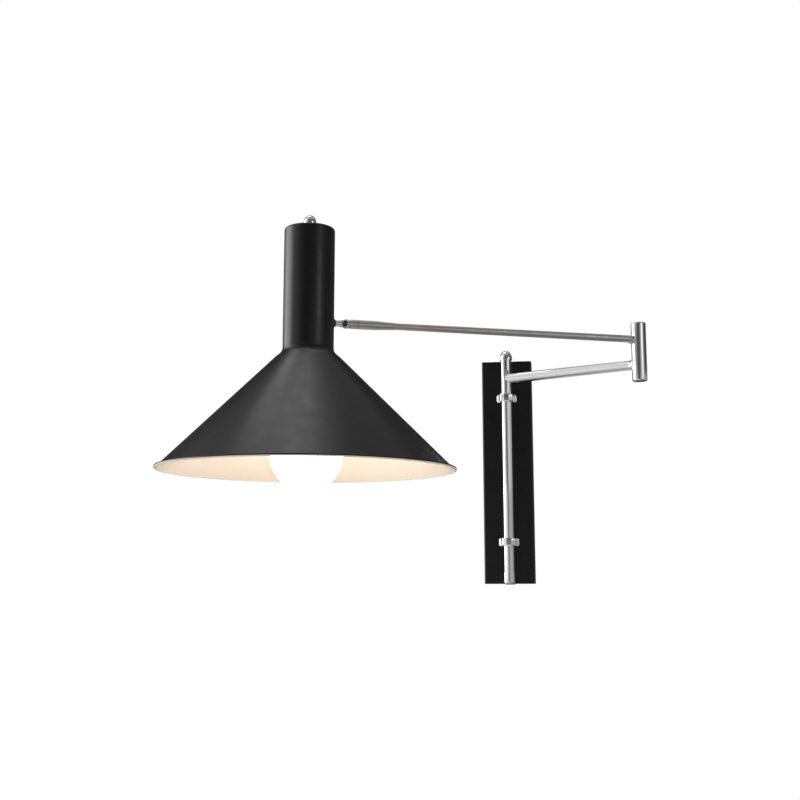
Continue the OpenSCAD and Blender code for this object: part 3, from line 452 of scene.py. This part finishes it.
def make_collar():
    """Black flare round the stub, its foot lying on the neck's round side."""
    profile = []
    for i in range(COLLAR_STEPS + 1):
        t = i / COLLAR_STEPS
        profile.append((COLLAR_LEN * t, COLLAR_TOP_R
                        + (COLLAR_FOOT_R - COLLAR_TOP_R) * (1 - t) ** COLLAR_CURVE))
    profile += [(COLLAR_LEN, COLLAR_BORE), (0.0, COLLAR_BORE)]
    rings = []
    for x, r in profile:
        ring = []
        for y, z in ellipse(r, r, COLLAR_SEGS):
            foot = math.sqrt(NECK_R ** 2 - y ** 2) - COLLAR_SINK
            ring.append((foot + x * (NECK_R + COLLAR_LEN - foot) / COLLAR_LEN, y, z))
        rings.append(ring)
    collar = skin("stub_flare", rings, (BLACK,), angle=40, looped=True, place=SHADE)
    stands_for(collar, "shade", "satin_black", "stub_collar")


# The saddle clips. x runs along the wall, y towards it, from the rod's axis.

CLIP_STAND = 9.5                        # from the rod's axis to the cover
CLIP_HALF_H, CLIP_END = 5.0, 12.3
STRAP_T, STRAP_FRONT_Y = 0.7, -7.25
STRAP_CORNER_R, STRAP_CORNER_STEPS = 1.3, 6
# Length of each run, 0 for a corner, and the angles of its normal at start and end.
STRAP_RUNS = ((2.6, 0, 0), (0, 0, 27), (4.4, 27, 27), (0, 27, 90), (2.6, 90, 90))
FOOT_R, FOOT_FIRST_A, FOOT_LAST_A = 5.0, 14, 46
FOOT_BEND_R, FOOT_STEPS = 1.2, 8
END_ROUND, END_LEAST_SQ = 1.5, 0.04     # the feet's round corners
EDGE_BEVEL, CROWN = 0.22, 0.06
SCREW_X, SCREW_DEPTH, SCREW_SEGS = 10.0, 1.25, 32
SCREW_HEAD_R, SCREW_SHANK_R = 1.25, 1.2
SCREW_TOP, SCREW_HEAD_FOOT, SCREW_END = 0.75, -0.5, -5.2
DOME_Z, DOME_R = -0.67, 1.42


def strap_path():
    """Middle line of a saddle clip in plan, right half, as (x, y, angle of the
    outward normal from the front): a flat front, a slope, a side, a bowed foot."""
    x, y = 0.0, STRAP_FRONT_Y
    points = [(x, y, 0.0)]
    for run, a0, a1 in STRAP_RUNS:
        steps = 1 if run else STRAP_CORNER_STEPS
        for k in range(1, steps + 1):
            a = math.radians(a0 + (a1 - a0) * k / steps)
            mid = math.radians(a0 + (a1 - a0) * (k - 0.5) / steps)
            step = run or STRAP_CORNER_R * math.radians(a1 - a0) / steps
            x, y = x + step * math.cos(mid), y + step * math.sin(mid)
            points.append((x, y, a))
    first, last, square = (math.radians(a) for a in (FOOT_FIRST_A, FOOT_LAST_A, 90))
    foot_len = FOOT_R * (math.sin(last) - math.sin(first))
    foot_rise = FOOT_R * (math.cos(first) - math.cos(last))
    foot_y = CLIP_STAND - STRAP_T / 2 - foot_rise
    bend_w = CLIP_END - foot_len - x
    bend_h = FOOT_BEND_R * (1 - math.sin(first) * 0.5)
    points.append((x, foot_y - bend_h, square))
    for k in range(1, FOOT_STEPS + 1):
        t = k / FOOT_STEPS
        points.append((x + bend_w * (1 - math.cos(t * math.pi / 2)),
                       foot_y - bend_h * (1 - math.sin(t * math.pi / 2)),
                       square + (first - square) * t))
    x, y, _ = points[-1]
    for k in range(1, FOOT_STEPS + 1):
        a = first + (last - first) * k / FOOT_STEPS
        points.append((x + FOOT_R * (math.sin(a) - math.sin(first)),
                       y + FOOT_R * (math.cos(first) - math.cos(a)), a))
    return points


def make_clip(name, node):
    """Saddle clip: a pressed strap over the rod with crowned feet and round corners."""
    z = centre(node).z / MM
    half = strap_path()
    path = [(-x, y, -a) for x, y, a in half[:0:-1]] + half
    length = [0.0]
    for p, q in zip(path, path[1:]):
        length.append(length[-1] + math.dist(p[:2], q[:2]))
    out = STRAP_T / 2
    rings = []
    for (x, y, a), d in zip(path, length):
        near = min(d, length[-1] - d, END_ROUND)
        w = CLIP_HALF_H - END_ROUND + math.sqrt(
            max(END_ROUND ** 2 - (END_ROUND - near) ** 2, END_LEAST_SQ))
        section = [(-out, -w), (out - EDGE_BEVEL, -w), (out, -w + EDGE_BEVEL)]
        section += [(out + CROWN * (1 - t * t), t * (w - EDGE_BEVEL)) for t in (-0.5, 0, 0.5)]
        section += [(out, w - EDGE_BEVEL), (out - EDGE_BEVEL, w), (-out, w), (-out, 0)]
        rings.append([ROD @ Vector((x + n * math.sin(a), y - n * math.cos(a), z + v))
                      for n, v in section])
    clip = skin(name, rings, (CHROME,), angle=50)
    stands_for(clip, "wall_unit", "chrome", node)


def make_clip_screws():
    """Four small domed screws through the clips' feet into the cover."""
    outline = (
        [(0, SCREW_TOP)] + arc(0, DOME_Z, DOME_R, 82, 30, 8)
        + [(SCREW_HEAD_R, SCREW_HEAD_FOOT), (SCREW_SHANK_R, SCREW_HEAD_FOOT),
           (SCREW_SHANK_R, SCREW_END), (0, SCREW_END)]
    )
    lie = Matrix.Rotation(math.radians(90), 4, "X")
    mesh = bpy.data.meshes.new("clip_heads")
    bm = bmesh.new()
    for side in (-1, 1):
        for node in ("clip_upper", "clip_lower"):
            z = centre(node).z / MM
            place = Matrix.Translation((side * SCREW_X, CLIP_STAND - SCREW_DEPTH, z)) @ lie
            screw = revolve("screw", outline, ROD @ place, (), SCREW_SEGS)
            screw_mesh = screw.data
            bm.from_mesh(screw_mesh)
            bpy.data.objects.remove(screw)
            bpy.data.meshes.remove(screw_mesh)
    bm.to_mesh(mesh)
    bm.free()
    shade_smooth(mesh, angle=40)
    screws = new_object("clip_heads", mesh, (CHROME,))
    stands_for(screws, "wall_unit", "chrome", "clip_screws")


# The arms. x runs along each arm, from the elbow's or the rod's axis.

ELBOW_R, ROD_R, SINK = 8.95, 6.6, 0.3   # SINK: how far the tubes reach into them
ARM_SEGS, ARM_STEPS = 96, 24
UPPER_LEN, UPPER_END, UPPER_BORE = 404.4, 328.9, 2.4
UPPER_R, UPPER_END_R = 4.3, 3.6         # at the elbow and at the shade's axis
UPPER_WELD, UPPER_WELD_STEPS, UPPER_WELD_CURVE = 8.0, 12, 2.2
UPPER_WELD_BELOW, UPPER_WELD_ABOVE, UPPER_WELD_SIDE = 2.6, 0.5, 1.1
WELD_OFFSET = 0.01                      # keeps each weld ring clear of the one before
LOWER_LEN, LOWER_BORE, LOWER_START = 183.0, 4.5, ROD_R + 1
LOWER_R, LOWER_END_R = 6.45, 5.65       # at the rod and at the elbow's axis
LOWER_WELD, LOWER_WELD_GROW, LOWER_WELD_STEPS = 3.2, 1.3, 8
RING_FOOT, RING_T, RING_BORE, HAIRLINE, RING_SEGS = 14.8, 0.87, 5.2, 0.02, 96


def tube(name, place, stations, bore, materials):
    """Hollow tube along x. Each station is (function of y giving x, radius across,
    radius up and down, drop of the centre)."""
    outer, inner = [], []
    for where, ry, rz, drop in stations:
        outer.append([place @ Vector((where(y), y, z - drop))
                      for y, z in ellipse(ry, rz, ARM_SEGS)])
        inner.append([place @ Vector((where(y), y, z))
                      for y, z in ellipse(bore, bore, ARM_SEGS)])
    return skin(name, outer + inner[::-1], materials, angle=40, looped=True)


def level(x):
    """A tube's end cut square at x."""
    return lambda y: x


def coped(radius, sign=1, middle=0.0):
    """A tube's end cut to lie on an upright cylinder."""
    return lambda y: middle + sign * math.sqrt(max(radius ** 2 - y ** 2, 0.0))


def make_upper_arm():
    """Tapering tube with a weld fillet under its root at the elbow."""
    def radius(x):
        return UPPER_R + (UPPER_END_R - UPPER_R) * x / UPPER_LEN

    stations = []
    for k in range(UPPER_WELD_STEPS + 1):
        t = 1 - k / UPPER_WELD_STEPS
        x = ELBOW_R - SINK + UPPER_WELD * (1 - t)
        g = t ** UPPER_WELD_CURVE
        up = (UPPER_WELD_BELOW + UPPER_WELD_ABOVE) / 2 * g
        drop = (UPPER_WELD_BELOW - UPPER_WELD_ABOVE) / 2 * g
        where = coped(ELBOW_R - SINK) if k == 0 else level(x + WELD_OFFSET * k)
        stations.append((where, radius(x) + UPPER_WELD_SIDE * g, radius(x) + up, drop))
    for k in range(1, ARM_STEPS + 1):
        x = ELBOW_R + UPPER_WELD + (UPPER_END - ELBOW_R - UPPER_WELD) * k / ARM_STEPS
        stations.append((level(x), radius(x), radius(x), 0))
    # The tube takes the satin chrome darkened as painted shade.
    arm = tube("upper_tube", UPPER, stations, UPPER_BORE, (SHADED_SATIN,))
    stands_for(arm, "arm_unit", "chrome", "upper_arm")


def make_lower_arm():
    """Tube from the rod to the elbow, with a small weld at the elbow."""
    def radius(x):
        return (LOWER_R + (LOWER_END_R - LOWER_R) * (x - LOWER_START)
                / (LOWER_LEN - LOWER_START))

    far = LOWER_LEN - ELBOW_R
    stations = [(coped(ROD_R - SINK), LOWER_R, LOWER_R, 0)]
    for k in range(ARM_STEPS + 1):
        x = LOWER_START + (far - LOWER_WELD - LOWER_START) * k / ARM_STEPS
        stations.append((level(x), radius(x), radius(x), 0))
    for k in range(1, LOWER_WELD_STEPS + 1):
        t = k / LOWER_WELD_STEPS
        x = far - LOWER_WELD * (1 - t) + SINK * t
        r = radius(x) + LOWER_WELD_GROW * t ** 2
        last = k == LOWER_WELD_STEPS
        where = coped(ELBOW_R - SINK, -1, LOWER_LEN) if last else level(x - SINK)
        stations.append((where, r, r, 0))
    arm = tube("lower_tube", LOWER, stations, LOWER_BORE, (CHROME,))
    stands_for(arm, "rod_unit", "chrome", "lower_arm")


def make_elbow_ring():
    """Thrust washer of the elbow, filling the joint down to a hairline."""
    rim = ELBOW_R - HAIRLINE
    outline = [(RING_BORE, RING_FOOT), (rim, RING_FOOT), (rim, RING_FOOT + RING_T),
               (RING_BORE, RING_FOOT + RING_T)]
    ring = revolve("elbow_ring", outline, ELBOW, (CHROME,), RING_SEGS)
    stands_for(ring, "rod_unit", "chrome", "elbow_washer")


# The swivel fork. x runs along the upper arm, from the neck's axis.

CHEEK_R, CHEEK_STEPS = 4.35, 10
CHEEK_CUTS = (0.02, 0.15, 0.4, 0.9, 1.6, 2.6, 3.6)  # from the cheek's front
SLOT_HALF, CHEEK_SINK = 2.5, 0.4
BODY_R, BODY_BEVEL = 5.2, 0.25
# The last number is the length of the band past the lip that is drawn in bright chrome, a painted highlight.
LIP_X, LIP_LEN, GLINT_LEN = 43.4, 0.85, 1
LIP_CUTS = (0, 0.15, 0.5, LIP_LEN, 1.1)             # from the lip's start
SLOT_END, FORK_END = 49.0, 56.0
SPINDLE_R, SPINDLE_END = 3.0, 72.5
GROOVE_X, GROOVE_HALF, GROOVE_R = 64.3, 1.4, 2.2
FORK_SEGS = 64
# Material indices: the cheeks take the near-black painted shade, the shoulder band the bright chrome painted
# highlight, and the stem the satin chrome darkened as painted shade.
CHEEK, SHOULDER, STEM = 0, 1, 2                     # material indices


def fork_cheek(bm, side):
    """One cheek: a rounded front, then a step out to the fork's body."""
    stations = [TILT_X - CHEEK_R + d for d in CHEEK_CUTS] + [TILT_X]
    stations += [LIP_X + d for d in LIP_CUTS] + [SLOT_END + CHEEK_SINK]
    rows = []
    for x in stations:
        r = CHEEK_R + (BODY_R - CHEEK_R) * min(1, max(0, (x - LIP_X) / LIP_LEN))
        back = max(TILT_X - x, 0)
        high = min(math.sqrt(r * r - SLOT_HALF * SLOT_HALF),
                   math.sqrt(max(CHEEK_R ** 2 - back ** 2, 0)))
        top = math.asin(min(high / r, 1))
        turns = [top * t / CHEEK_STEPS for t in range(-CHEEK_STEPS, CHEEK_STEPS + 1)]
        ring = [(x, side * r * math.cos(a), r * math.sin(a)) for a in turns]
        ring += [(x, side * SLOT_HALF, high * t / 3) for t in (3, 1, -1, -3)]
        rows.append([bm.verts.new(p) for p in ring])
    for x, a, b in zip(stations, rows, rows[1:]):
        # The cheeks are in painted shade, a short band past the lip is in bright chrome as a painted highlight,
        # and the rest is in darkened satin.
        part = CHEEK if x < LIP_X else SHOULDER if x < LIP_X + GLINT_LEN else STEM
        join_rings(bm, a, b, part)
    bm.faces.new(rows[0])
    bm.faces.new(rows[-1]).material_index = STEM


def make_fork():
    """Swivel fork: two rounded cheeks darkened as painted shade, a shoulder band
    whose step catches light, drawn in bright chrome as a painted highlight, and a stem
    of satin chrome darkened as painted shade, with a groove in its spindle for the ferrule's screw."""
    bm = bmesh.new()
    for side in (-1, 1):
        fork_cheek(bm, side)
    profile = [(0, SLOT_END), (BODY_R, SLOT_END), (BODY_R, FORK_END - BODY_BEVEL),
               (BODY_R - BODY_BEVEL, FORK_END), (SPINDLE_R, FORK_END),
               (SPINDLE_R, GROOVE_X - GROOVE_HALF), (GROOVE_R, GROOVE_X - GROOVE_HALF),
               (GROOVE_R, GROOVE_X + GROOVE_HALF), (SPINDLE_R, GROOVE_X + GROOVE_HALF),
               (SPINDLE_R, SPINDLE_END), (0, SPINDLE_END)]
    rings = []
    for r, x in profile:
        circle = ellipse(r, r, FORK_SEGS) if r else [(0, 0)]
        rings.append([bm.verts.new((x, y, z)) for y, z in circle])
    for a, b in zip(rings, rings[1:]):
        join_rings(bm, a, b, STEM)
    mesh = close_mesh(bm, "fork", angle=30, place=FORK)
    fork = new_object("fork", mesh, (PAINTED_SHADE_STEEL, CHROME, SHADED_SATIN))
    stands_for(fork, "swivel", "chrome", "swivel_fork")


make_neck()
make_cone()
make_collar()
make_clip("saddle_upper", "clip_upper")
make_clip("saddle_lower", "clip_lower")
make_clip_screws()
make_upper_arm()
make_lower_arm()
make_elbow_ring()
make_fork()

# The chrome shows the studio, not the black shade hanging in front of it.
for name in frame["record"]["behaviour"]["bodies"]["shade"]:
    nodes[name].visible_glossy = False
for name in ("neck", "cone", "stub_flare"):
    bpy.data.objects[name].visible_glossy = False


# The studio, in metres: a round room whose walls only the gloss sees. Azimuths are in
# degrees from the front, + to the right.

DAYLIGHT = 0.55
ROOM_X, ROOM_Y, ROOM_R = 0.1, -0.12, 3.0
PANEL_A = 6                             # degrees of the wall that one panel covers
LOW, ROD_MID, SILL, STRIP, LINTEL, HIGH = -1.35, 0.2, 0.585, 0.79, 1.25, 3.2
# The wall in bands of height, each as (from azimuth, to azimuth, brightness).
WALL_BANDS = {
    (LOW, ROD_MID): (
        (-64, -32, 0.8), (-32, -22, 0.6), (-22, -10, 0.36), (-10, 14, 0.16),
        (14, 60, 0.4), (60, 84, 0.36), (84, 118, 0.3), (118, 165, 0.26)),
    (ROD_MID, SILL): (
        (-64, -32, 0.72), (-32, -12, 0.14), (-12, 6, 0.12), (6, 28, 0.46),
        (28, 52, 0.62), (52, 80, 0.5), (80, 118, 0.38), (118, 165, 0.28)),
    (SILL, STRIP): (
        (-84, -64, 0.5), (-64, -48, 0.34), (-48, -30, 0.24), (-30, 14, 0.08),
        (14, 32, 0.3), (32, 62, 0.95), (62, 84, 0.22), (84, 120, 0.045),
        (120, 165, 0.14)),
    (STRIP, LINTEL): (
        (-64, -44, 0.6), (-44, -26, 0.36), (-26, 30, 0.09), (30, 46, 0.2),
        (46, 63, 2.3), (63, 84, 0.3), (84, 165, 0.1)),
    (LINTEL, HIGH): (
        (-64, -44, 0.76), (-44, -20, 0.25), (-20, 30, 0.12), (30, 84, 0.17),
        (84, 165, 0.13), (-195, -128, 0.06), (-128, -104, 0.3)),
}
BACK_WALL = (165, 232, 0.06)
# Parts of the ceiling and the floor: from and to azimuth, height, from and to radius,
# brightness.
DECKS = {
    "flag_sky_left": (-195, -95, HIGH, 1.7, ROOM_R, 0.33),
    "flag_sky_front": (-95, -20, HIGH, 0.3, ROOM_R, 0.5),
    "flag_sky_right": (-20, 165, HIGH, 0.3, ROOM_R, 0.31),
    "flag_low_right": (10, 165, LOW, 0.3, ROOM_R, 0.19),
    "flag_low_left": (-85, 10, LOW, 1.1, ROOM_R, 0.62),
    "flag_low_near": (-195, 10, LOW, 0.3, 1.1, 0.35),
}
# A panel over the arms: two corners in plan, height, brightness.
TOP_PANEL = ((-0.9, -0.05), (-0.3, 0.7), 1.7, 0.56)
# Place, target, size and watts.
LAMPS = {
    "left": ((-2.467, -0.04, 0.45), (-0.1, -0.2, 0.1), (1.7, 1.9), 27),
    "top": ((-0.6, 0.0, 1.75), (-0.21, -0.27, 0.1), (0.42, 1.1), 2.5),
}
FLOOR_HALF, FLOOR_Z = 5.0, -1.4


def greatest(tree, outputs):
    """The greatest of some node outputs."""
    total = outputs[0]
    for output in outputs[1:]:
        node = tree.nodes.new("ShaderNodeMath")
        node.operation = "MAXIMUM"
        tree.links.new(total, node.inputs[0])
        tree.links.new(output, node.inputs[1])
        total = node.outputs[0]
    return total


def make_world():
    """Even daylight, shown as white to the camera, to gloss and through glass."""
    world = bpy.data.worlds.new("studio")
    scene.world = world
    world.use_nodes = True
    tree = world.node_tree
    tree.nodes.clear()
    out = tree.nodes.new("ShaderNodeOutputWorld")
    seen, cast = (tree.nodes.new("ShaderNodeBackground") for _ in range(2))
    for node, strength in ((seen, 1), (cast, DAYLIGHT)):
        node.inputs["Color"].default_value = (1, 1, 1, 1)
        node.inputs["Strength"].default_value = strength
    path = tree.nodes.new("ShaderNodeLightPath")
    mix = tree.nodes.new("ShaderNodeMixShader")
    rays = ("Is Camera Ray", "Is Glossy Ray", "Is Transmission Ray")
    tree.links.new(greatest(tree, [path.outputs[r] for r in rays]), mix.inputs["Fac"])
    tree.links.new(cast.outputs[0], mix.inputs[1])
    tree.links.new(seen.outputs[0], mix.inputs[2])
    tree.links.new(mix.outputs[0], out.inputs["Surface"])


def make_floor():
    """Pale floor under the lamp."""
    mesh = bpy.data.meshes.new("floor")
    corners = [(x * FLOOR_HALF, y * FLOOR_HALF, FLOOR_Z)
               for x, y in ((-1, -1), (1, -1), (1, 1), (-1, 1))]
    mesh.from_pydata(corners, [], [(0, 1, 2, 3)])
    floor = new_object("floor", mesh, ())
    f = Finish("floor", (0.88, 0.88, 0.87), 0, 0.9)
    f.tint(0.8, 3, (0.87, 0.87, 0.86), (0.89, 0.89, 0.88))
    mesh.materials.append(f.mat)


def area_light(name, place, target, size, watts):
    """White lamp panel that looks at its target."""
    data = bpy.data.lights.new(name, "AREA")
    data.shape = "RECTANGLE"
    data.size, data.size_y = size
    data.energy = watts
    obj = bpy.data.objects.new(name, data)
    obj.location = place
    aim = Vector(target) - Vector(place)
    obj.rotation_euler = aim.to_track_quat("-Z", "Y").to_euler()
    scene.collection.objects.link(obj)


def flag(name, faces, brightness):
    """Studio panels of one brightness, seen only in gloss."""
    mesh = bpy.data.meshes.new(name)
    points = [p for face in faces for p in face]
    mesh.from_pydata(points, [], [tuple(range(4 * i, 4 * i + 4)) for i in range(len(faces))])
    obj = new_object(name, mesh, ())
    mat = bpy.data.materials.new(name)
    mat.use_nodes = True
    lit(mat, (1, 1, 1), brightness)
    shader = mat.node_tree.nodes["Principled BSDF"]
    shader.inputs["Base Color"].default_value = (0, 0, 0, 1)
    shader.inputs["Specular IOR Level"].default_value = 0
    mat.cycles.emission_sampling = "NONE"
    mesh.materials.append(mat)
    for key in ("visible_camera", "visible_diffuse", "visible_transmission",
                "visible_volume_scatter", "visible_shadow"):
        setattr(obj, key, False)


def room_point(azimuth, radius, height):
    """A point of the round room."""
    a = math.radians(azimuth)
    return (ROOM_X + radius * math.sin(a), ROOM_Y - radius * math.cos(a), height)


def ring_faces(a0, a1, lower, upper):
    """Panels of a ring of the room, from one (radius, height) to another."""
    n = max(1, round((a1 - a0) / PANEL_A))
    cuts = [a0 + (a1 - a0) * i / n for i in range(n + 1)]
    return [[room_point(p, *lower), room_point(q, *lower), room_point(q, *upper),
             room_point(p, *upper)] for p, q in zip(cuts, cuts[1:])]


def wall_flag(name, a0, a1, z0, z1, brightness):
    """Panels of the room's wall between two azimuths and two heights."""
    flag(name, ring_faces(a0, a1, (ROOM_R, z0), (ROOM_R, z1)), brightness)


def make_flags():
    """The room's walls, ceiling and floor as the gloss shows them."""
    for i, ((z0, z1), parts) in enumerate(WALL_BANDS.items()):
        for j, (a0, a1, brightness) in enumerate(parts):
            wall_flag(f"flag_{i}_{j}", a0, a1, z0, z1, brightness)
    a0, a1, brightness = BACK_WALL
    wall_flag("flag_back", a0, a1, LOW, LINTEL, brightness)
    for name, (a0, a1, z, r0, r1, brightness) in DECKS.items():
        flag(name, ring_faces(a0, a1, (r0, z), (r1, z)), brightness)
    (x0, y0), (x1, y1), z, brightness = TOP_PANEL
    flag("flag_top_rear", [[(x0, y0, z), (x1, y0, z), (x1, y1, z), (x0, y1, z)]], brightness)


make_world()
make_floor()
for name, (place, target, size, watts) in LAMPS.items():
    area_light(name, place, target, size, watts)
make_flags()
